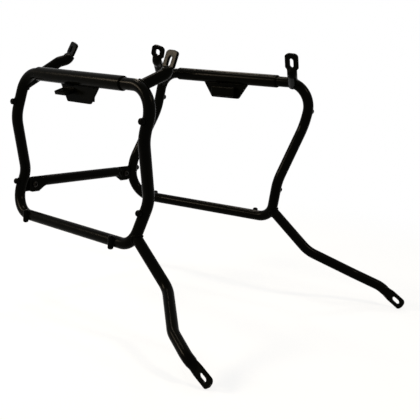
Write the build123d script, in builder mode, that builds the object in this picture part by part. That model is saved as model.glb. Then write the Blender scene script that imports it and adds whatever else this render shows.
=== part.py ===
from build123d import *
from math import cos, pi, radians, sin, tan
import os

# Sizes in mm. +X is the rider's right, +Y points to the front wheel, +Z is up

# Tube stock
loop_d = 18.0
stay_d = 17.2
brace_d = 18.0
tube_wall = 2.0
sleeve_wall = 2.0

# Clearances
sleeve_gap = 0.1
weld_gap = 0.1
seat_gap = 0.05
stud_gap = 0.2
bolt_gap = 0.3

# Where the middle of each sleeve lies
half_width = 180.0
sleeve_y = -76.66
sleeve_z = 160.9
toe_angle = 5.6

# Carrying loop, seen from the side
loop_length = 322.0
loop_height = 240.0
rear_reach = 142.0
front_reach = loop_length - rear_reach
lean_angle = 14.4
top_radius = 40.0
seam_gap = 2.0

# Carrying loop, seen from behind
bend_below = 32.0
bend_outset = 6.0
bend_radius = 75.0
waist_above = 29.0
waist_inset = 31.0
waist_radius = 50.0
foot_inset = 16.0
front_foot_radius = 32.0
rear_foot_radius = 40.0
bend_drop = top_radius + bend_below
waist_drop = loop_height - rear_foot_radius - waist_above

# Sleeve over the top rail
sleeve_length = 212.0
sleeve_edge = 0.8

# Lock plate under the sleeve, and its catch
plate_t = 3.0
plate_inset = 2.0
plate_top_w = 96.0
plate_low_w = 57.0
plate_drop = 37.0
plate_corner = 5.0
catch_t = 4.5
catch_w = 34.0
catch_reach = 19.5
catch_back = plate_top_w / 4
catch_drop = 16.0
catch_slope = 18.0
catch_corner = 6.0
block_w = 48.0
block_h = 17.0
block_t = 10.0
block_back = 3.0
block_edge = 1.5

# Flattened tube ends
flat_t = 4.5
flat_taper = 4.5
tip_corner = 8.5
slot_w = 8.5

# Upper stays, from the loop's top corners to the tail of the bike
stay_bend = 12.0
front_root = (0.5, front_reach - 43.0, -4.0)
front_knee = (-38.0, front_reach - 25.0, 17.5)
front_rise = (-9.5, 1.5, 30.0)
front_neck = 5.3
front_yaw = 0.0
front_slot_l = 16.0
front_slot_at = 8.4
front_tip = 24.7
rear_root = (1.5, -rear_reach - 4.0, -21.5)
rear_shoulder = (-49.0, -rear_reach + 21.0, 18.5)
rear_knee = (-62.0, -rear_reach + 27.5, 23.0)
rear_rise = (-8.0, 10.0, 28.8)
rear_neck = 6.3
rear_yaw = 10.0
rear_slot_l = 12.0
rear_slot_at = 6.6
rear_tip = 19.0

# Lower arms, in runs (out, forwards, up) from the loop's front feet to the footrest hangers
arm_rise = 15.0
arm_runs = ((8.7, 75.5, -62.0), (55.0, 62.0, -37.0), (20.5, 43.5, -17.5))
arm_fall = 31.0
arm_splay = 4.0
arm_neck = 10.0
arm_bends = (42.0, 48.0, 38.0)
arm_slot_l = 15.0
arm_slot_at = 13.0
arm_tip = 28.0
arm_flat_w = 21.0

# Locating studs: round ones on the uprights, and ones that stand beside the bottom rail
stud_d = 10.0
stud_stand = 7.0
stud_round = 2.5
rail_stud_d = 9.0
rail_stud_length = 22.0
rail_stud_out = 10.0
rail_stud_round = 3.0
upper_stud_drop = bend_drop - 23.0
lower_stud_drop = waist_drop + 19.0
rail_studs = (front_reach - 100.0, -rear_reach - 6.0)

# Cross brace and its fixings
brace_drop = waist_drop + 24.5
brace_taper = 14.0
brace_end = 11.0
brace_bolt_in = 24.0
lug_t = 4.0
lug_h = 24.0
lug_end = 11.0
bolt_d = 6.0
head_d = 11.0
head_h = 3.6
socket_w = 4.0
socket_deep = 2.0
nut_w = 10.0
nut_h = 5.0
thread_out = 2.0

# Values that follow from the ones above
sleeve_d = loop_d + 2 * (sleeve_gap + sleeve_wall)
bolt_hole_d = bolt_d + 2 * bolt_gap
stay_flat_w = pi * (stay_d - tube_wall) / 2 + tube_wall
brace_flat_w = pi * (brace_d - tube_wall) / 2 + tube_wall
brace_lift = (brace_flat_w - brace_d) / 2

# The right side's own frame: x outwards, y along the loop, z up
toe = radians(toe_angle)
side = Plane(
    origin=(half_width, sleeve_y, sleeve_z),
    x_dir=(cos(toe), -sin(toe), 0),
    z_dir=(0, 0, 1),
)
outwards = side.x_dir
forwards = side.y_dir

os.makedirs("parts", exist_ok=True)


# A point on the axis of a leaning upright, a given drop below the top rail
def upright_point(reach, drop):
    along = reach - drop * tan(radians(lean_angle))
    if drop < bend_drop:
        inset = -bend_outset * drop / bend_drop
    elif drop < waist_drop:
        rest = (drop - bend_drop) / (waist_drop - bend_drop)
        inset = (waist_inset + bend_outset) * rest - bend_outset
    else:
        rest = (drop - waist_drop) / (loop_height - waist_drop)
        inset = waist_inset + (foot_inset - waist_inset) * rest
    return (-inset, along, -drop)


# The bent axis of the loop, from seam to seam inside the sleeve
def loop_axis():
    drops = (0, bend_drop, waist_drop, loop_height)
    down = [upright_point(front_reach, drop) for drop in drops]
    up = [upright_point(-rear_reach, drop) for drop in reversed(drops)]
    bends = [top_radius, bend_radius, waist_radius]
    return FilletPolyline(
        (0, seam_gap / 2, 0),
        *down,
        *up,
        (0, -seam_gap / 2, 0),
        radius=bends + [front_foot_radius, rear_foot_radius] + bends[::-1],
    )


# A point given in the side's frame, in the common frame
def from_side(point):
    return side.from_local_coords(Vector(*point))


# Plane across a tube's end: z along the tube, x across the flattened end
def end_plane(path, across):
    return Plane(origin=path @ 1, x_dir=across, z_dir=path % 1)


# Round tube drawn along a path
def draw_tube(path, diameter):
    with BuildSketch(Plane(origin=path @ 0, z_dir=path % 0)) as ring:
        Circle(diameter / 2)
        Circle(diameter / 2 - tube_wall, mode=Mode.SUBTRACT)
    sweep(ring.sketch, path=path)


# Pressed-flat tube end with a rounded outline and a slot, set to one side of the tube by a shift
def press_flat(end, diameter, width, taper, length, hole_l, hole_w, hole_at, shift=0):
    middle = end.origin + end.z_dir * taper + end.x_dir * shift
    flat = Plane(origin=middle, x_dir=end.x_dir, z_dir=end.z_dir)
    face = Plane(origin=flat.origin, x_dir=flat.x_dir, z_dir=flat.x_dir.cross(flat.z_dir))
    with BuildSketch(flat) as section:
        SlotOverall(width, flat_t)
    extrude(section.sketch, amount=length)
    with BuildSketch(face) as outline:
        Rectangle(width, length, align=(Align.CENTER, Align.MIN))
        fillet(outline.vertices().group_by(Axis.Y)[-1], tip_corner)
        with Locations((0, hole_at)):
            if hole_l > hole_w:
                SlotOverall(hole_l, hole_w, rotation=90, mode=Mode.SUBTRACT)
            else:
                Circle(hole_w / 2, mode=Mode.SUBTRACT)
    extrude(outline.sketch, amount=flat_t, both=True, mode=Mode.INTERSECT)
    with BuildSketch(end) as round_end:
        Circle(diameter / 2)
    loft([round_end.sketch, section.sketch])


# Stud standing square on the outer side of an upright, a given drop below the top rail
def add_stud(reach, drop):
    foot = from_side(upright_point(reach, drop))
    tube_way = (from_side(upright_point(reach, drop + 1)) - foot).normalized()
    stud_way = (outwards - tube_way * outwards.dot(tube_way)).normalized()
    with BuildSketch(Plane(origin=foot, x_dir=stud_way, z_dir=tube_way)) as shape:
        with Locations((loop_d / 2 + stud_gap, 0)):
            Rectangle(stud_stand - stud_gap, stud_d / 2, align=(Align.MIN, Align.MIN))
        rim = shape.vertices().group_by(Axis.X)[-1].sort_by(Axis.Y)[-1]
        fillet(rim, stud_round)
    revolve(shape.sketch, axis=Axis(foot, stud_way))


# Room the loop takes up, for the joints welded onto it
with BuildPart() as loop_room:
    with BuildLine(side) as room_path:
        loop_axis()
    with BuildSketch(Plane(origin=room_path.line @ 0, z_dir=room_path.line % 0)):
        Circle(loop_d / 2 + weld_gap)
    sweep(path=room_path.line)

# Carrying loop, one bent tube
with BuildPart() as right_loop:
    with BuildLine(side) as loop_path:
        loop_axis()
    draw_tube(loop_path.line, loop_d)
right_loop.part.label = "right_loop"
export_step(right_loop.part, "parts/right_loop.step")

# Sleeve that joins the loop's two ends
sleeve_start = from_side((0, -sleeve_length / 2, 0))
with BuildPart() as right_sleeve:
    with BuildSketch(Plane(origin=sleeve_start, x_dir=outwards, z_dir=forwards)):
        Circle(sleeve_d / 2)
        Circle(loop_d / 2 + sleeve_gap, mode=Mode.SUBTRACT)
    extrude(amount=sleeve_length)
    rims = right_sleeve.edges().filter_by(GeomType.CIRCLE)
    chamfer(rims.filter_by(lambda rim: rim.radius > loop_d / 2 + sleeve_gap + 0.01), sleeve_edge)
right_sleeve.part.label = "right_sleeve"
export_step(right_sleeve.part, "parts/right_sleeve.step")

# Lock plate, a trapezoid welded under the sleeve
plate_plane = Plane(origin=from_side((-plate_inset, 0, 0)), x_dir=forwards, z_dir=outwards)
with BuildPart() as right_lock_plate:
    with BuildSketch(plate_plane) as plate_shape:
        with BuildLine():
            Polyline(
                (-plate_top_w / 2, -loop_d / 2),
                (-plate_low_w / 2, -plate_drop),
                (plate_low_w / 2, -plate_drop),
                (plate_top_w / 2, -loop_d / 2),
                close=True,
            )
        make_face()
        fillet(plate_shape.vertices().group_by(Axis.Y)[0], plate_corner)
    extrude(amount=plate_t / 2, both=True)
    with BuildSketch(Plane(origin=sleeve_start, x_dir=outwards, z_dir=forwards)):
        Circle(sleeve_d / 2 + weld_gap)
    extrude(amount=sleeve_length, mode=Mode.SUBTRACT)
right_lock_plate.part.label = "right_lock_plate"
export_step(right_lock_plate.part, "parts/right_lock_plate.step")

# Catch, a tongue standing outwards from the lock plate's rear half
slope = radians(catch_slope)
catch_plane = Plane(
    origin=from_side((-plate_inset, -catch_back, -catch_drop)),
    x_dir=outwards * cos(slope) - Vector(0, 0, sin(slope)),
    z_dir=outwards * sin(slope) + Vector(0, 0, cos(slope)),
)
with BuildPart() as right_catch:
    with BuildSketch(catch_plane) as catch_shape:
        Rectangle(catch_reach + plate_inset, catch_w, align=(Align.MIN, Align.CENTER))
        fillet(catch_shape.vertices().group_by(Axis.X)[-1], catch_corner)
    extrude(amount=-catch_t)
    with BuildSketch(plate_plane.offset(plate_t / 2 + seat_gap)):
        Rectangle(4 * plate_top_w, 4 * plate_drop)
    extrude(amount=-4 * plate_t, mode=Mode.SUBTRACT)
right_catch.part.label = "right_catch"
export_step(right_catch.part, "parts/right_catch.step")

# Block that backs the catch, on the inner face of the lock plate
block_plane = plate_plane.offset(-plate_t / 2 - seat_gap)
with BuildPart() as right_catch_block:
    with BuildSketch(block_plane):
        with Locations((0, -plate_drop + block_back)):
            Rectangle(block_w, block_h, align=(Align.CENTER, Align.MIN))
    extrude(amount=-block_t)
    inner_rim = right_catch_block.faces().sort_by(Axis(block_plane.origin, outwards))[0].edges()
    fillet(inner_rim, block_edge)
right_catch_block.part.label = "right_catch_block"
export_step(right_catch_block.part, "parts/right_catch_block.step")


# Bent stay with a pressed end, coped onto the loop
def build_stay(points, rise, neck, yaw, tip, slot_l, slot_at):
    end = Vector(*points[-1]) + Vector(*rise).normalized() * neck
    with BuildLine(side, mode=Mode.PRIVATE) as axis:
        FilletPolyline(*points, tuple(end), radius=stay_bend)
    across = outwards * sin(radians(yaw)) + forwards * cos(radians(yaw))
    tip_plane = end_plane(axis.line, across)
    press_flat(tip_plane, stay_d, stay_flat_w, flat_taper, tip, slot_l, slot_w, slot_at)
    draw_tube(axis.line, stay_d)
    add(loop_room.part, mode=Mode.SUBTRACT)


# Upper front stay
with BuildPart() as right_front_stay:
    build_stay(
        (front_root, front_knee),
        front_rise,
        front_neck,
        front_yaw,
        front_tip,
        front_slot_l,
        front_slot_at,
    )
right_front_stay.part.label = "right_front_stay"
export_step(right_front_stay.part, "parts/right_front_stay.step")

# Upper rear stay
with BuildPart() as right_rear_stay:
    build_stay(
        (rear_root, rear_shoulder, rear_knee),
        rear_rise,
        rear_neck,
        rear_yaw,
        rear_tip,
        rear_slot_l,
        rear_slot_at,
    )
right_rear_stay.part.label = "right_rear_stay"
export_step(right_rear_stay.part, "parts/right_rear_stay.step")

# Lower arm, bent three times on its way to the footrest hanger
arm_points = [from_side(upright_point(front_reach, loop_height - arm_rise))]
for run in arm_runs:
    arm_points.append(arm_points[-1] + Vector(*run))
arm_end_way = Vector(0, 1, 0).rotate(Axis.X, -arm_fall).rotate(Axis.Z, -arm_splay)
arm_points.append(arm_points[-1] + arm_end_way * arm_neck)
with BuildPart() as right_arm:
    with BuildLine(mode=Mode.PRIVATE) as arm_axis:
        FilletPolyline(*arm_points, radius=list(arm_bends))
    arm_tip_plane = end_plane(arm_axis.line, Vector(1, 0, 0).cross(arm_end_way))
    press_flat(
        arm_tip_plane, stay_d, arm_flat_w, brace_taper, arm_tip, arm_slot_l, slot_w, arm_slot_at
    )
    draw_tube(arm_axis.line, stay_d)
    add(loop_room.part, mode=Mode.SUBTRACT)
right_arm.part.label = "right_arm"
export_step(right_arm.part, "parts/right_arm.step")

# Studs on the two uprights
with BuildPart() as right_upright_studs:
    for reach in (front_reach, -rear_reach):
        for drop in (upper_stud_drop, lower_stud_drop):
            add_stud(reach, drop)
right_upright_studs.part.label = "right_upright_studs"
export_step(right_upright_studs.part, "parts/right_upright_studs.step")

# Studs that stand beside the bottom rail, on its outer side
with BuildPart() as right_rail_studs:
    for along in rail_studs:
        stud_middle = from_side((rail_stud_out - foot_inset, along, -loop_height))
        with BuildSketch(Plane(origin=stud_middle, x_dir=outwards, z_dir=(0, 0, 1))):
            Circle(rail_stud_d / 2)
        extrude(amount=rail_stud_length / 2, both=True)
    fillet(right_rail_studs.edges().filter_by(GeomType.CIRCLE), rail_stud_round)
    add(loop_room.part, mode=Mode.SUBTRACT)
right_rail_studs.part.label = "right_rail_studs"
export_step(right_rail_studs.part, "parts/right_rail_studs.step")

# Lug for the cross brace, inside the rear upright
lug_root = from_side(upright_point(-rear_reach, brace_drop))
lug_plane = Plane(origin=lug_root, x_dir=(-1, 0, 0), z_dir=(0, 1, 0))
with BuildPart() as right_brace_lug:
    with BuildSketch(lug_plane) as lug_shape:
        Rectangle(brace_bolt_in + lug_end, lug_h, align=(Align.MIN, Align.CENTER))
        fillet(lug_shape.vertices().group_by(Axis.X)[-1], lug_end)
        with Locations((brace_bolt_in, 0)):
            Circle(bolt_hole_d / 2, mode=Mode.SUBTRACT)
    extrude(amount=lug_t / 2, both=True)
    add(loop_room.part, mode=Mode.SUBTRACT)
right_brace_lug.part.label = "right_brace_lug"
export_step(right_brace_lug.part, "parts/right_brace_lug.step")

# Cross brace, a tube with flattened ends bolted to the front of the lugs, its top edge in one line
bolt_x = lug_root.X - brace_bolt_in
brace_y = lug_root.Y + lug_t / 2 + seat_gap + flat_t / 2
brace_x = bolt_x - brace_end - brace_taper
brace_z = lug_root.Z + brace_lift
with BuildPart() as cross_brace:
    with BuildLine(mode=Mode.PRIVATE) as brace_axis:
        Line((-brace_x, brace_y, brace_z), (brace_x, brace_y, brace_z))
    press_flat(
        end_plane(brace_axis.line, (0, 0, 1)),
        brace_d,
        brace_flat_w,
        brace_taper,
        2 * brace_end,
        bolt_hole_d,
        bolt_hole_d,
        brace_end,
        -brace_lift,
    )
    mirror(about=Plane.YZ)
    draw_tube(brace_axis.line, brace_d)
cross_brace.part.label = "cross_brace"
export_step(cross_brace.part, "parts/cross_brace.step")

# Domed bolts through the brace and the lugs
head_plane = Plane(
    origin=(bolt_x, brace_y + flat_t / 2 + seat_gap, lug_root.Z), x_dir=(1, 0, 0), z_dir=(0, 1, 0)
)
grip = flat_t + lug_t + 3 * seat_gap + nut_h + thread_out
with BuildPart() as brace_bolts:
    with BuildSketch(head_plane) as head_shape:
        Circle(head_d / 2)
    extrude(amount=head_h)
    fillet(brace_bolts.faces().sort_by(Axis.Y)[-1].edges(), head_h * 0.8)
    with BuildSketch(head_plane.offset(head_h)):
        RegularPolygon(socket_w / 2, 6, major_radius=False)
    extrude(amount=-socket_deep, mode=Mode.SUBTRACT)
    with BuildSketch(head_plane):
        Circle(bolt_d / 2)
    extrude(amount=-grip)
    mirror(about=Plane.YZ)
brace_bolts.part.label = "brace_bolts"
export_step(brace_bolts.part, "parts/brace_bolts.step")

# Nuts behind the lugs
nut_plane = lug_plane.offset(-lug_t / 2 - seat_gap)
with BuildPart() as brace_nuts:
    with BuildSketch(nut_plane):
        with Locations((brace_bolt_in, 0)):
            RegularPolygon(nut_w / 2, 6, major_radius=False)
            Circle(bolt_d / 2 + seat_gap, mode=Mode.SUBTRACT)
    extrude(amount=-nut_h)
    mirror(about=Plane.YZ)
brace_nuts.part.label = "brace_nuts"
export_step(brace_nuts.part, "parts/brace_nuts.step")


# Left side, the mirror image of the right
with BuildPart() as left_loop:
    mirror(right_loop.part, about=Plane.YZ)
left_loop.part.label = "left_loop"
export_step(left_loop.part, "parts/left_loop.step")

with BuildPart() as left_sleeve:
    mirror(right_sleeve.part, about=Plane.YZ)
left_sleeve.part.label = "left_sleeve"
export_step(left_sleeve.part, "parts/left_sleeve.step")

with BuildPart() as left_lock_plate:
    mirror(right_lock_plate.part, about=Plane.YZ)
left_lock_plate.part.label = "left_lock_plate"
export_step(left_lock_plate.part, "parts/left_lock_plate.step")

with BuildPart() as left_catch:
    mirror(right_catch.part, about=Plane.YZ)
left_catch.part.label = "left_catch"
export_step(left_catch.part, "parts/left_catch.step")

with BuildPart() as left_catch_block:
    mirror(right_catch_block.part, about=Plane.YZ)
left_catch_block.part.label = "left_catch_block"
export_step(left_catch_block.part, "parts/left_catch_block.step")

with BuildPart() as left_front_stay:
    mirror(right_front_stay.part, about=Plane.YZ)
left_front_stay.part.label = "left_front_stay"
export_step(left_front_stay.part, "parts/left_front_stay.step")

with BuildPart() as left_rear_stay:
    mirror(right_rear_stay.part, about=Plane.YZ)
left_rear_stay.part.label = "left_rear_stay"
export_step(left_rear_stay.part, "parts/left_rear_stay.step")

with BuildPart() as left_arm:
    mirror(right_arm.part, about=Plane.YZ)
left_arm.part.label = "left_arm"
export_step(left_arm.part, "parts/left_arm.step")

with BuildPart() as left_upright_studs:
    mirror(right_upright_studs.part, about=Plane.YZ)
left_upright_studs.part.label = "left_upright_studs"
export_step(left_upright_studs.part, "parts/left_upright_studs.step")

with BuildPart() as left_rail_studs:
    mirror(right_rail_studs.part, about=Plane.YZ)
left_rail_studs.part.label = "left_rail_studs"
export_step(left_rail_studs.part, "parts/left_rail_studs.step")

with BuildPart() as left_brace_lug:
    mirror(right_brace_lug.part, about=Plane.YZ)
left_brace_lug.part.label = "left_brace_lug"
export_step(left_brace_lug.part, "parts/left_brace_lug.step")
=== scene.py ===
from math import cos, pi, radians, sin, sqrt, tan

import bpy
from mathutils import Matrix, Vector


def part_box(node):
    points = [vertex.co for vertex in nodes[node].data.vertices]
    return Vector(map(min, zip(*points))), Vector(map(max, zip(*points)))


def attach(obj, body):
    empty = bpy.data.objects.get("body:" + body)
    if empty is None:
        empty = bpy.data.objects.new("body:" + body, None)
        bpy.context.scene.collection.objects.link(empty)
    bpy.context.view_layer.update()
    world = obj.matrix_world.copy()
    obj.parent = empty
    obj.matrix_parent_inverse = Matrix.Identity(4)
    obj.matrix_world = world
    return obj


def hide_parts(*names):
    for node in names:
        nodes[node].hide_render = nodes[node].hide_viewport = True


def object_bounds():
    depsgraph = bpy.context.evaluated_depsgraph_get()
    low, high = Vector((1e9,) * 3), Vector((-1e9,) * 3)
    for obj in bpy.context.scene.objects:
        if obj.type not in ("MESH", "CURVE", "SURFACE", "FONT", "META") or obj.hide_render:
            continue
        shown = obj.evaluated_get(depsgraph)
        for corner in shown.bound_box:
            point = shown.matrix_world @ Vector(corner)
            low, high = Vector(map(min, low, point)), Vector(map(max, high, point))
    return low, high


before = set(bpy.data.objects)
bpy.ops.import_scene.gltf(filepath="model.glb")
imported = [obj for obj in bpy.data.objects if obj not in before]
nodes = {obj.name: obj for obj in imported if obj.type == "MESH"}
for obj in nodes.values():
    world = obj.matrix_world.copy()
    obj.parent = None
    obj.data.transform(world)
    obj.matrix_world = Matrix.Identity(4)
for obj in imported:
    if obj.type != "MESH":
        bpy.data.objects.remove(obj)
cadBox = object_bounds()
mm = 0.001
print("frame loaded:", len(nodes), "nodes")


# sRGB hex to the linear colour that sockets take
def linear(hexText):
    parts = [int(hexText[i:i + 2], 16) / 255 for i in (1, 3, 5)]
    bent = [p / 12.92 if p <= 0.04045 else ((p + 0.055) / 1.055) ** 2.4 for p in parts]
    return (*bent, 1.0)


# one node, with its settings, fixed inputs and links
def addNode(tree, kind, settings=None, values=None, links=None):
    node = tree.nodes.new(kind)
    for key, value in (settings or {}).items():
        setattr(node, key, value)
    for key, value in (values or {}).items():
        node.inputs[key].default_value = value
    for key, source in (links or {}).items():
        tree.links.new(source, node.inputs[key])
    return node


# the two ends of a colour ramp
def setStops(ramp, spread, colours):
    for stop, place, colour in zip(ramp.color_ramp.elements, spread, colours):
        stop.position = place
        stop.color = linear(colour)


def newMaterial(name):
    material = bpy.data.materials.new(name)
    material.use_nodes = True
    material.node_tree.nodes.clear()
    return material, material.node_tree


def clearSelection():
    if bpy.context.object and bpy.context.object.mode != "OBJECT":
        bpy.ops.object.mode_set(mode="OBJECT")
    bpy.ops.object.select_all(action="DESELECT")


def onlySelect(piece):
    clearSelection()
    piece.select_set(True)
    bpy.context.view_layer.objects.active = piece


# sizes of the solids that the details are set against, mm
sideFrame = {
    "halfWidth": 180.0, "sleeveY": -76.66, "sleeveZ": 160.9, "toe": 5.6,
    "loopRadius": 9.0, "stayRadius": 8.6, "sleeveLength": 212.0,
    "rearReach": 142.0, "loopHeight": 240.0, "lean": 14.4,
    "bendDrop": 72.0, "bendOutset": 6.0, "waistDrop": 171.0, "waistInset": 31.0, "footInset": 16.0,
}


# a point (out, along, up) on one side of the bike, in metres
def fromSide(side, out, along, up):
    toe = radians(sideFrame["toe"])
    x = sideFrame["halfWidth"] + out * cos(toe) + along * sin(toe)
    y = sideFrame["sleeveY"] - out * sin(toe) + along * cos(toe)
    return Vector((side * x, y, sideFrame["sleeveZ"] + up)) * mm


def sideWay(side, out, along, up):
    return (fromSide(side, out, along, up) - fromSide(side, 0, 0, 0)).normalized()


# a point on an upright's axis, a given drop below the top rail
def uprightPoint(side, reach, drop):
    s = sideFrame
    if drop < s["bendDrop"]:
        inset = -s["bendOutset"] * drop / s["bendDrop"]
    elif drop < s["waistDrop"]:
        rest = (drop - s["bendDrop"]) / (s["waistDrop"] - s["bendDrop"])
        inset = (s["waistInset"] + s["bendOutset"]) * rest - s["bendOutset"]
    else:
        rest = (drop - s["waistDrop"]) / (s["loopHeight"] - s["waistDrop"])
        inset = s["waistInset"] + (s["footInset"] - s["waistInset"]) * rest
    return fromSide(side, -inset, reach - drop * tan(radians(s["lean"])), -drop)


# Semi-gloss black powder coat, baked on welded steel tube: a warm near-black that stays deep in the
# light, narrow soft-edged highlights, a fine orange-peel skin, and faint clouding where the coat is thicker.
# The peel of the real coat, under 1 mm, is drawn at 1.8 mm so that it shows. The sheen is set far below a
# real coat's, because the white surround would turn the tubes grey
coatLook = {
    "thin": "#040402", "thick": "#020201", "cloudMm": 45.0, "cloudDetail": 4.0, "cloudRough": 0.6,
    "gritMm": 7.0, "gritDetail": 3.0, "roughLow": 0.17, "roughHigh": 0.27, "spread": (0.3, 0.7),
    "peelMm": 1.8, "peelDetail": 1.0, "peelHeight": 0.05, "peelDeepMm": 0.3,
    "edgeMm": 0.8, "edgeSamples": 6, "ior": 1.5, "sheenLevel": 0.013,
}


def powderCoat(name, look):
    material, tree = newMaterial(name)
    place = addNode(tree, "ShaderNodeTexCoord")
    cloud = addNode(
        tree, "ShaderNodeTexNoise", None,
        {"Scale": 1 / (look["cloudMm"] * mm), "Detail": look["cloudDetail"], "Roughness": look["cloudRough"]},
        {"Vector": place.outputs["Object"]},
    )
    tint = addNode(tree, "ShaderNodeValToRGB", None, None, {"Fac": cloud.outputs["Fac"]})
    setStops(tint, look["spread"], (look["thick"], look["thin"]))
    grit = addNode(
        tree, "ShaderNodeTexNoise", None,
        {"Scale": 1 / (look["gritMm"] * mm), "Detail": look["gritDetail"]},
        {"Vector": place.outputs["Object"]},
    )
    low, high = look["spread"]
    gloss = addNode(
        tree, "ShaderNodeMapRange", None,
        {"From Min": low, "From Max": high, "To Min": look["roughLow"], "To Max": look["roughHigh"]},
        {"Value": grit.outputs["Fac"]},
    )
    peel = addNode(
        tree, "ShaderNodeTexNoise", None,
        {"Scale": 1 / (look["peelMm"] * mm), "Detail": look["peelDetail"]},
        {"Vector": place.outputs["Object"]},
    )
    edge = addNode(
        tree, "ShaderNodeBevel", {"samples": look["edgeSamples"]}, {"Radius": look["edgeMm"] * mm},
    )
    bump = addNode(
        tree, "ShaderNodeBump", None,
        {"Strength": look["peelHeight"], "Distance": look["peelDeepMm"] * mm},
        {"Height": peel.outputs["Fac"], "Normal": edge.outputs["Normal"]},
    )
    shader = addNode(
        tree, "ShaderNodeBsdfPrincipled", None,
        {"IOR": look["ior"], "Specular IOR Level": look["sheenLevel"]},
        {
            "Base Color": tint.outputs["Color"], "Roughness": gloss.outputs["Result"],
            "Normal": bump.outputs["Normal"],
        },
    )
    addNode(tree, "ShaderNodeOutputMaterial", None, None, {"Surface": shader.outputs["BSDF"]})
    return material


# Black zinc on steel fasteners: dark metal with a faint grey bloom and fine machining grain
zincLook = {
    "dark": "#0d0c0a", "bloom": "#1c1a17", "spread": (0.35, 0.75), "bloomMm": 3.0, "bloomDetail": 4.0,
    "grain": 0.1, "grainDeepMm": 0.1, "rough": 0.34,
}


def blackZinc(name, look):
    material, tree = newMaterial(name)
    place = addNode(tree, "ShaderNodeTexCoord")
    bloom = addNode(
        tree, "ShaderNodeTexNoise", None,
        {"Scale": 1 / (look["bloomMm"] * mm), "Detail": look["bloomDetail"]},
        {"Vector": place.outputs["Object"]},
    )
    tint = addNode(tree, "ShaderNodeValToRGB", None, None, {"Fac": bloom.outputs["Fac"]})
    setStops(tint, look["spread"], (look["dark"], look["bloom"]))
    bump = addNode(
        tree, "ShaderNodeBump", None,
        {"Strength": look["grain"], "Distance": look["grainDeepMm"] * mm},
        {"Height": bloom.outputs["Fac"]},
    )
    shader = addNode(
        tree, "ShaderNodeBsdfPrincipled", None, {"Metallic": 1.0, "Roughness": look["rough"]},
        {"Base Color": tint.outputs["Color"], "Normal": bump.outputs["Normal"]},
    )
    addNode(tree, "ShaderNodeOutputMaterial", None, None, {"Surface": shader.outputs["BSDF"]})
    return material


coat = powderCoat("semiGlossBlackPowderCoat", coatLook)
weldLook = dict(coatLook, peelMm=2.4, peelHeight=0.22, roughLow=0.3, roughHigh=0.42)
weldCoat = powderCoat("powderCoatOverWeldBead", weldLook)
zinc = blackZinc("blackZincOnSteel", zincLook)

for name, node in nodes.items():
    node.data.materials.clear()
    node.data.materials.append(zinc if name in ("brace_bolts", "brace_nuts") else coat)
print("materials set on", len(nodes), "nodes")

# every bead: its ripples, the spacing of its points, and the thin tips of one that isn't closed
weldBead = {
    "ripple": 0.2, "rippleMm": 2.4, "stepMm": 0.6, "fewest": 8, "roundness": 3, "mergeMm": 0.01,
    "tip": 0.5, "tipRise": 0.17, "castMm": 40.0,
}


def roundTurns(count):
    return [2 * pi * i / count for i in range(count)]


# points spaced evenly along a run of points, closed or open
def evenRun(points, step, closed):
    path = points + points[:1] if closed else points
    lengths = [(end - start).length for start, end in zip(path, path[1:])]
    total = sum(lengths)
    count = max(int(total / step), weldBead["fewest"])
    reach = total / (count if closed else count - 1)
    almost = total * 0.99999  # keeps the last point on the last leg
    even, leg, gone = [], 0, 0.0
    for i in range(count):
        target = min(i * reach, almost)
        while gone + lengths[leg] < target:
            gone += lengths[leg]
            leg += 1
        even.append(path[leg].lerp(path[leg + 1], (target - gone) / lengths[leg]))
    return even


# a rippled bead laid along points: a circle of edges is moved onto the run, then made a round rod
def layBead(points, radius, closed=True):
    step = weldBead["stepMm"] * mm
    run = evenRun(points, step, closed)
    clearSelection()
    bpy.ops.mesh.primitive_circle_add(vertices=len(run), radius=radius)
    piece = bpy.context.object
    for vertex, spot in zip(piece.data.vertices, run):
        vertex.co = spot
    if not closed:
        bpy.ops.object.mode_set(mode="EDIT")
        bpy.ops.mesh.select_mode(type="EDGE")
        bpy.ops.mesh.select_all(action="DESELECT")
        bpy.ops.object.mode_set(mode="OBJECT")
        for edge in piece.data.edges:
            edge.select = set(edge.vertices) == {0, len(run) - 1}
        bpy.ops.object.mode_set(mode="EDIT")
        bpy.ops.mesh.delete(type="EDGE")
        bpy.ops.object.mode_set(mode="OBJECT")
    onlySelect(piece)
    bpy.ops.object.convert(target="CURVE")
    piece = bpy.context.object
    curve = piece.data
    curve.bevel_depth = radius
    curve.bevel_resolution = weldBead["roundness"]
    curve.use_fill_caps = True
    ripples = max(round(len(run) * step / (weldBead["rippleMm"] * mm)), 1)
    for i, point in enumerate(curve.splines[0].points):
        wave = 0.5 + 0.5 * cos(2 * pi * ripples * i / len(run))
        point.radius = 1 + weldBead["ripple"] * (wave ** 2 - 0.5)
        if not closed:
            fromTip = min(i, len(run) - 1 - i)
            point.radius *= min(1.0, weldBead["tip"] + weldBead["tipRise"] * fromTip)
    bpy.ops.object.convert(target="MESH")
    piece = bpy.context.object
    bpy.ops.object.mode_set(mode="EDIT")
    bpy.ops.mesh.select_all(action="SELECT")
    bpy.ops.mesh.remove_doubles(threshold=weldBead["mergeMm"] * mm)
    bpy.ops.mesh.normals_make_consistent(inside=False)
    bpy.ops.object.mode_set(mode="OBJECT")
    bpy.ops.object.shade_smooth()
    return piece


# several beads as one named piece
def joinBeads(name, beads):
    onlySelect(beads[0])
    if len(beads) > 1:
        for bead in beads:
            bead.select_set(True)
        bpy.ops.object.join()
    piece = beads[0]
    piece.name = name
    piece.data.materials.clear()
    piece.data.materials.append(weldCoat)
    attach(piece, "root")


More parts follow.
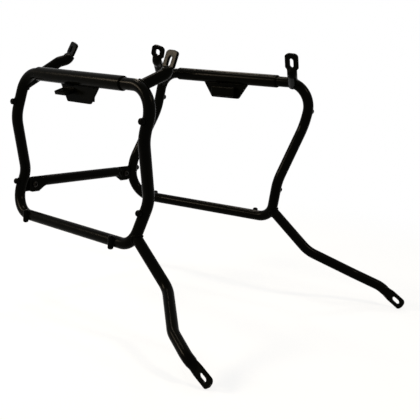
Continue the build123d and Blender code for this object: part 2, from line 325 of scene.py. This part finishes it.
# where a piece's outline lands on the loop when it is sent along a line: the run of its weld, and whether
# it goes all the way round; a run with a gap starts after the gap
def landedRim(loopName, outline, way):
    rim = []
    for spot in outline:
        found, place = nodes[loopName].ray_cast(spot - way * weldBead["castMm"] * mm, way)[:2]
        rim.append(place if found else None)
    starts = [i for i in range(len(rim)) if rim[i] and not rim[i - 1]]
    if starts:
        rim = rim[starts[0]:] + rim[:starts[0]]
    return [spot for spot in rim if spot], not starts


# where the coped tubes leave the loop, in the side's frame, and which way they go, mm
tubeWelds = {
    "spots": 90,
    "joints": [
        {"root": (0.5, 137.0, -4.0), "way": (-38.5, 18.0, 21.5), "bead": 1.9},  # front stay
        {"root": (1.5, -146.0, -21.5), "way": (-50.5, 25.0, 40.0), "bead": 1.9},  # rear stay
        {"root": (-19.3, 122.2, -225.0), "way": (1.3, 76.0, -62.0), "bead": 2.0},  # arm
    ],
}


def tubeBeads(loopName, side):
    beads = []
    for weld in tubeWelds["joints"]:
        root, way = fromSide(side, *weld["root"]), sideWay(side, *weld["way"])
        across = way.orthogonal().normalized() * sideFrame["stayRadius"] * mm
        upright = way.cross(across)
        outline = [root + across * cos(t) + upright * sin(t) for t in roundTurns(tubeWelds["spots"])]
        rim, whole = landedRim(loopName, outline, -way)
        beads.append(layBead(rim, weld["bead"] * mm, whole))
    return beads


# studs on the uprights (reach, drop) and beside the bottom rail (along), mm
studWelds = {
    "upright": [(180.0, 49.0), (180.0, 190.0), (-142.0, 49.0), (-142.0, 190.0)],
    "ring": 5.5, "spots": 40, "bead": 1.25,
    "rail": [80.0, -148.0], "railOut": 10.0, "railBead": 1.0,
    "footReach": 14.0, "footCore": 0.5, "footGap": 0.25, "footApart": 0.5,
}


# a closed ring of spots on an upright stud's foot, on the round of the tube
def studRing(side, reach, drop):
    foot = uprightPoint(side, reach, drop)
    tubeWay = (uprightPoint(side, reach, drop + 1) - foot).normalized()
    outWay = sideWay(side, 1, 0, 0)
    studWay = (outWay - tubeWay * outWay.dot(tubeWay)).normalized()
    crossWay = tubeWay.cross(studWay)
    ring = []
    for turn in roundTurns(studWelds["spots"]):
        aside = studWelds["ring"] * sin(turn)
        height = sqrt(sideFrame["loopRadius"] ** 2 - aside ** 2)
        along = tubeWay * studWelds["ring"] * cos(turn)
        ring.append(foot + (along + crossWay * aside + studWay * height) * mm)
    return ring


# the rim of a rail stud's foot, read from the frame: where its wall comes onto the loop
def footRim(studName, loopName, centre, way):
    across = way.orthogonal().normalized()
    upright = way.cross(across)
    rim = []
    for vertex in nodes[studName].data.vertices:
        arm = vertex.co - centre
        if arm.length > studWelds["footReach"] * mm:
            continue
        gap = (vertex.co - nodes[loopName].closest_point_on_mesh(vertex.co)[1]).length
        flat = Vector((arm.dot(across), arm.dot(upright)))
        if gap < studWelds["footGap"] * mm and flat.length > studWelds["footCore"] * mm:
            rim.append((flat.angle_signed(Vector((1, 0))), vertex.co.copy()))
    rim.sort(key=lambda pair: pair[0])
    kept = []
    for turn, spot in rim:
        if not kept or (spot - kept[-1]).length > studWelds["footApart"] * mm:
            kept.append(spot)
    return kept


def studBeads(studName, loopName, side):
    beads = [layBead(studRing(side, *spot), studWelds["bead"] * mm) for spot in studWelds["upright"]]
    out = studWelds["railOut"] - sideFrame["footInset"]
    for along in studWelds["rail"]:
        centre = fromSide(side, out, along, -sideFrame["loopHeight"])
        rim = footRim(studName, loopName, centre, sideWay(side, 1, 0, 0))
        beads.append(layBead(rim, studWelds["railBead"] * mm))
    return beads


# stitches along the lock plate's top edge (along from, to), the catch's root and the sleeve's rims, mm;
# a face is (out, up)
plateWelds = {
    "stitches": [(-38.0, -14.0), (12.0, 38.0)], "plateFaces": [(-0.2, -11.6), (-3.9, -11.2)], "bead": 1.4,
    "catchRun": (-38.0, -10.0), "catchFaces": [(0.2, -16.3), (-0.1, -21.6)], "catchBead": 1.2, "steps": 12,
    "rimRing": 9.75, "rimPast": 0.3, "rimBead": 0.85, "rimSpots": 60,
}


def straightBead(side, ends, face, bead):
    start, end = ends
    steps = plateWelds["steps"]
    run = [fromSide(side, face[0], start + (end - start) * i / steps, face[1]) for i in range(steps + 1)]
    return layBead(run, bead * mm, False)


def plateBeads(side):
    beads = []
    for stitch in plateWelds["stitches"]:
        beads += [straightBead(side, stitch, face, plateWelds["bead"]) for face in plateWelds["plateFaces"]]
    for face in plateWelds["catchFaces"]:
        beads.append(straightBead(side, plateWelds["catchRun"], face, plateWelds["catchBead"]))
    wide = plateWelds["rimRing"]
    for end in (-1, 1):
        along = end * (sideFrame["sleeveLength"] / 2 + plateWelds["rimPast"])
        turns = roundTurns(plateWelds["rimSpots"])
        ring = [fromSide(side, wide * cos(t), along, wide * sin(t)) for t in turns]
        beads.append(layBead(ring, plateWelds["rimBead"] * mm))
    return beads


# round the root of the brace lug, mm
lugWeld = {"drop": 195.5, "high": 24.0, "thick": 4.0, "steps": 24, "bead": 1.3}


def lugBead(loopName, side):
    root = uprightPoint(side, -sideFrame["rearReach"], lugWeld["drop"])
    thick, tall = lugWeld["thick"] / 2 * mm, lugWeld["high"] / 2 * mm
    corners = [(thick, -tall), (thick, tall), (-thick, tall), (-thick, -tall), (thick, -tall)]
    outline, steps = [], lugWeld["steps"]
    for (y, z), (nextY, nextZ) in zip(corners, corners[1:]):
        for i in range(steps):
            outline.append(root + Vector((0, y + (nextY - y) * i / steps, z + (nextZ - z) * i / steps)))
    rim, whole = landedRim(loopName, outline, Vector((side, 0, 0)))
    return layBead(rim, lugWeld["bead"] * mm, whole)


for hand, side in (("right", 1), ("left", -1)):
    loopName = f"{hand}_loop"
    joinBeads(f"{hand}TubeWelds", tubeBeads(loopName, side))
    joinBeads(f"{hand}StudWelds", studBeads(f"{hand}_rail_studs", loopName, side))
    joinBeads(f"{hand}PlateWelds", plateBeads(side))
    joinBeads(f"{hand}LugWeld", [lugBead(loopName, side)])
print("weld beads laid")


# a turned shape: a filled circle drawn up ring by ring, (height, radius) in mm
def turnedShape(rings, sides):
    clearSelection()
    low, small = rings[0]
    bpy.ops.mesh.primitive_circle_add(
        vertices=sides, radius=small * mm, fill_type="NGON", location=(0, 0, low * mm),
    )
    piece = bpy.context.object
    bpy.ops.object.transform_apply(location=True, rotation=True, scale=True)
    bpy.ops.object.mode_set(mode="EDIT")
    bpy.ops.mesh.select_all(action="SELECT")
    for height, wide in rings[1:]:
        bpy.ops.mesh.extrude_region_move(TRANSFORM_OT_translate={"value": (0, 0, (height - low) * mm)})
        bpy.ops.transform.resize(value=(wide / small, wide / small, 1), center_override=(0, 0, height * mm))
        low, small = height, wide
    bpy.ops.mesh.select_all(action="SELECT")
    bpy.ops.mesh.normals_make_consistent(inside=False)
    bpy.ops.object.mode_set(mode="OBJECT")
    return piece


def cutWith(piece, tool, operation):
    onlySelect(piece)
    cut = piece.modifiers.new("cut", "BOOLEAN")
    cut.operation = operation
    cut.object = tool
    bpy.ops.object.modifier_apply(modifier=cut.name)
    bpy.data.objects.remove(tool)


# one fastener turned to lie along the bike, copied to the other side, and both made one piece
def setPair(name, piece, look, halfWide, nodeName):
    low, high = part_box(nodeName)
    x = high.x - halfWide * mm
    onlySelect(piece)
    bpy.ops.object.shade_smooth_by_angle(angle=radians(look["sharpTurn"]))
    piece.rotation_euler = [radians(angle) for angle in look["turn"]]
    piece.location = (x, low.y, (low.z + high.z) / 2)
    bpy.ops.object.transform_apply(location=True, rotation=True, scale=True)
    bpy.ops.object.duplicate()
    twin = bpy.context.object
    twin.location.x = -2 * x
    bpy.ops.object.transform_apply(location=True, rotation=True, scale=True)
    onlySelect(piece)
    twin.select_set(True)
    bpy.ops.object.join()
    piece.name = name
    piece.data.materials.clear()
    piece.data.materials.append(zinc)
    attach(piece, "root")
    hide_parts(nodeName)


hexagon = 6

# button-head bolt that holds the brace, mm and degrees; its tail points backwards
boltLook = {
    "headWide": 11.0, "headHigh": 3.6, "round": 2.88, "roundSteps": 8,
    "socket": 4.0, "socketDeep": 2.0, "cutPast": 1.0,
    "thread": 6.0, "pitch": 1.0, "threadDeep": 0.55, "threadLong": 12.0, "length": 15.65,
    "sides": 48, "turn": (-90, 0, 0), "sharpTurn": 32,
}


def makeBolts(look):
    crest = look["thread"] / 2
    core = crest - look["threadDeep"]
    rings = [(0, core), (look["threadDeep"], crest)]
    for i in range(int(look["threadLong"] / look["pitch"])):
        groove = look["threadDeep"] + (i + 0.5) * look["pitch"]
        rings += [(groove, core), (groove + 0.5 * look["pitch"], crest)]
    rings += [(look["length"], crest), (look["length"], look["headWide"] / 2)]
    top = look["length"] + look["headHigh"]
    for i in range(look["roundSteps"] + 1):
        turn = pi / 2 * i / look["roundSteps"]
        rise = top - look["round"] + look["round"] * sin(turn)
        rings.append((rise, look["headWide"] / 2 - look["round"] * (1 - cos(turn))))
    bolt = turnedShape(rings, look["sides"])
    corner = look["socket"] / sqrt(3)
    socket = [(top - look["socketDeep"], corner), (top + look["cutPast"], corner)]
    cutWith(bolt, turnedShape(socket, hexagon), "DIFFERENCE")
    setPair("braceBolts", bolt, look, look["headWide"] / 2, "brace_bolts")


# hexagon nut with chamfered corners and a countersunk bore, mm and degrees
nutLook = {
    "flats": 10.0, "high": 5.0, "bore": 6.1, "chamfer": 9.3, "chamferHigh": 0.6, "sink": 6.9,
    "cutPast": 0.1, "sides": 64, "turn": (-90, 30, 0), "sharpTurn": 32,
}


def makeNuts(look):
    high, past = look["high"], look["cutPast"]
    corner = look["flats"] / sqrt(3)
    nut = turnedShape([(0, corner), (high, corner)], hexagon)
    rim, wide, slope = look["chamfer"] / 2, corner + past, look["chamferHigh"]
    chamfers = [(0, rim), (slope, wide), (high - slope, wide), (high, rim)]
    cutWith(nut, turnedShape(chamfers, look["sides"]), "INTERSECT")
    mouth, bore = look["sink"] / 2, look["bore"] / 2
    deep = mouth - bore
    hole = [(-past, mouth), (deep, bore), (high - deep, bore), (high + past, mouth)]
    cutWith(nut, turnedShape(hole, look["sides"]), "DIFFERENCE")
    setPair("braceNuts", nut, look, corner, "brace_nuts")


makeBolts(boltLook)
makeNuts(nutLook)
print("bolts and nuts made")

# pale floor under the lowest point: white to the camera and in reflections, with a soft trace of the shadow
# near the object that fades out with distance, in metres
stageLook = {
    "floor": "#eef6ff", "size": 14.0, "below": 0.0005, "shade": 0.22, "fadeFrom": 0.55, "fadeTo": 1.1,
}


def seenDirectly(tree):
    rays = addNode(tree, "ShaderNodeLightPath")
    glossy = addNode(
        tree, "ShaderNodeMath", {"operation": "MAXIMUM"}, None,
        {0: rays.outputs["Is Camera Ray"], 1: rays.outputs["Is Glossy Ray"]},
    )
    seen = addNode(
        tree, "ShaderNodeMath", {"operation": "MAXIMUM"}, None,
        {0: glossy.outputs["Value"], 1: rays.outputs["Is Transmission Ray"]},
    )
    return seen.outputs["Value"]


def paleFloor(look):
    material, tree = newMaterial("paleStudioFloor")
    matte = addNode(tree, "ShaderNodeBsdfDiffuse", None, {"Color": linear(look["floor"])})
    white = addNode(tree, "ShaderNodeEmission", None, {"Color": (1, 1, 1, 1), "Strength": 1.0})
    place = addNode(tree, "ShaderNodeTexCoord")
    far = addNode(tree, "ShaderNodeVectorMath", {"operation": "LENGTH"}, None, {0: place.outputs["Object"]})
    cover = addNode(
        tree, "ShaderNodeMapRange", {"interpolation_type": "SMOOTHSTEP"},
        {"From Min": look["fadeFrom"], "From Max": look["fadeTo"], "To Min": 1 - look["shade"], "To Max": 1.0},
        {"Value": far.outputs["Value"]},
    )
    share = addNode(
        tree, "ShaderNodeMath", {"operation": "MULTIPLY"}, None,
        {0: seenDirectly(tree), 1: cover.outputs["Result"]},
    )
    mix = addNode(
        tree, "ShaderNodeMixShader", None, None,
        {0: share.outputs["Value"], 1: matte.outputs["BSDF"], 2: white.outputs["Emission"]},
    )
    addNode(tree, "ShaderNodeOutputMaterial", None, None, {"Surface": mix.outputs["Shader"]})
    return material


clearSelection()
bpy.ops.mesh.primitive_plane_add(size=stageLook["size"], location=(0, 0, cadBox[0].z - stageLook["below"]))
floor = bpy.context.object
floor.name = "studioFloor"
floor.data.materials.append(paleFloor(stageLook))

# white where it is seen, dimmer where it lights
worldLook = {"shade": 0.35, "seen": 1.0}
world = bpy.data.worlds.new("studioWorld")
bpy.context.scene.world = world
world.use_nodes = True
worldTree = world.node_tree
worldTree.nodes.clear()
dim = addNode(
    worldTree, "ShaderNodeBackground", None, {"Color": (1, 1, 1, 1), "Strength": worldLook["shade"]},
)
bright = addNode(
    worldTree, "ShaderNodeBackground", None, {"Color": (1, 1, 1, 1), "Strength": worldLook["seen"]},
)
worldMix = addNode(
    worldTree, "ShaderNodeMixShader", None, None,
    {0: seenDirectly(worldTree), 1: dim.outputs["Background"], 2: bright.outputs["Background"]},
)
addNode(worldTree, "ShaderNodeOutputWorld", None, None, {"Surface": worldMix.outputs["Shader"]})

# soft boxes where the tubes' highlights place them, all aimed at the middle of the frame: a large one to the
# left, one above and behind, one to the right and a small one at the back; metres and watts
lampSet = {
    "left": {"place": (1.30, -1.24, 0.84), "size": (0.8, 0.34), "power": 40.0, "tint": "#ffeacb"},
    "above": {"place": (0.1, -0.85, 1.68), "size": (0.3, 0.3), "power": 10.0, "tint": "#fff0da"},
    "right": {"place": (-0.28, 1.22, 1.42), "size": (0.32, 0.32), "power": 14.0, "tint": "#ffeacb"},
    "back": {"place": (-0.93, -1.03, 1.29), "size": (0.26, 0.26), "power": 7.0, "tint": "#fff0da"},
}
for name, lamp in lampSet.items():
    bpy.ops.object.light_add(type="AREA", location=lamp["place"])
    light = bpy.context.object
    light.name = name + "Lamp"
    light.data.shape = "RECTANGLE"
    light.data.size, light.data.size_y = lamp["size"]
    light.data.energy = lamp["power"]
    light.data.color = linear(lamp["tint"])[:3]
    light.rotation_euler = (-Vector(lamp["place"])).to_track_quat("-Z", "Y").to_euler()

# camera solved from the rails and from the likeness of the two loops
cameraSet = {
    "place": (1.1156, 0.9534, 0.2359), "turn": (78.965, -2.834, 129.685), "lens": 77.182, "sensor": 36.0,
}
bpy.ops.object.camera_add(location=cameraSet["place"])
camera = bpy.context.object
camera.rotation_euler = [radians(angle) for angle in cameraSet["turn"]]
camera.data.lens = cameraSet["lens"]
camera.data.sensor_width = cameraSet["sensor"]
bpy.context.scene.camera = camera
bpy.context.scene.view_settings.view_transform = "Standard"
print("stage, lamps and camera set")
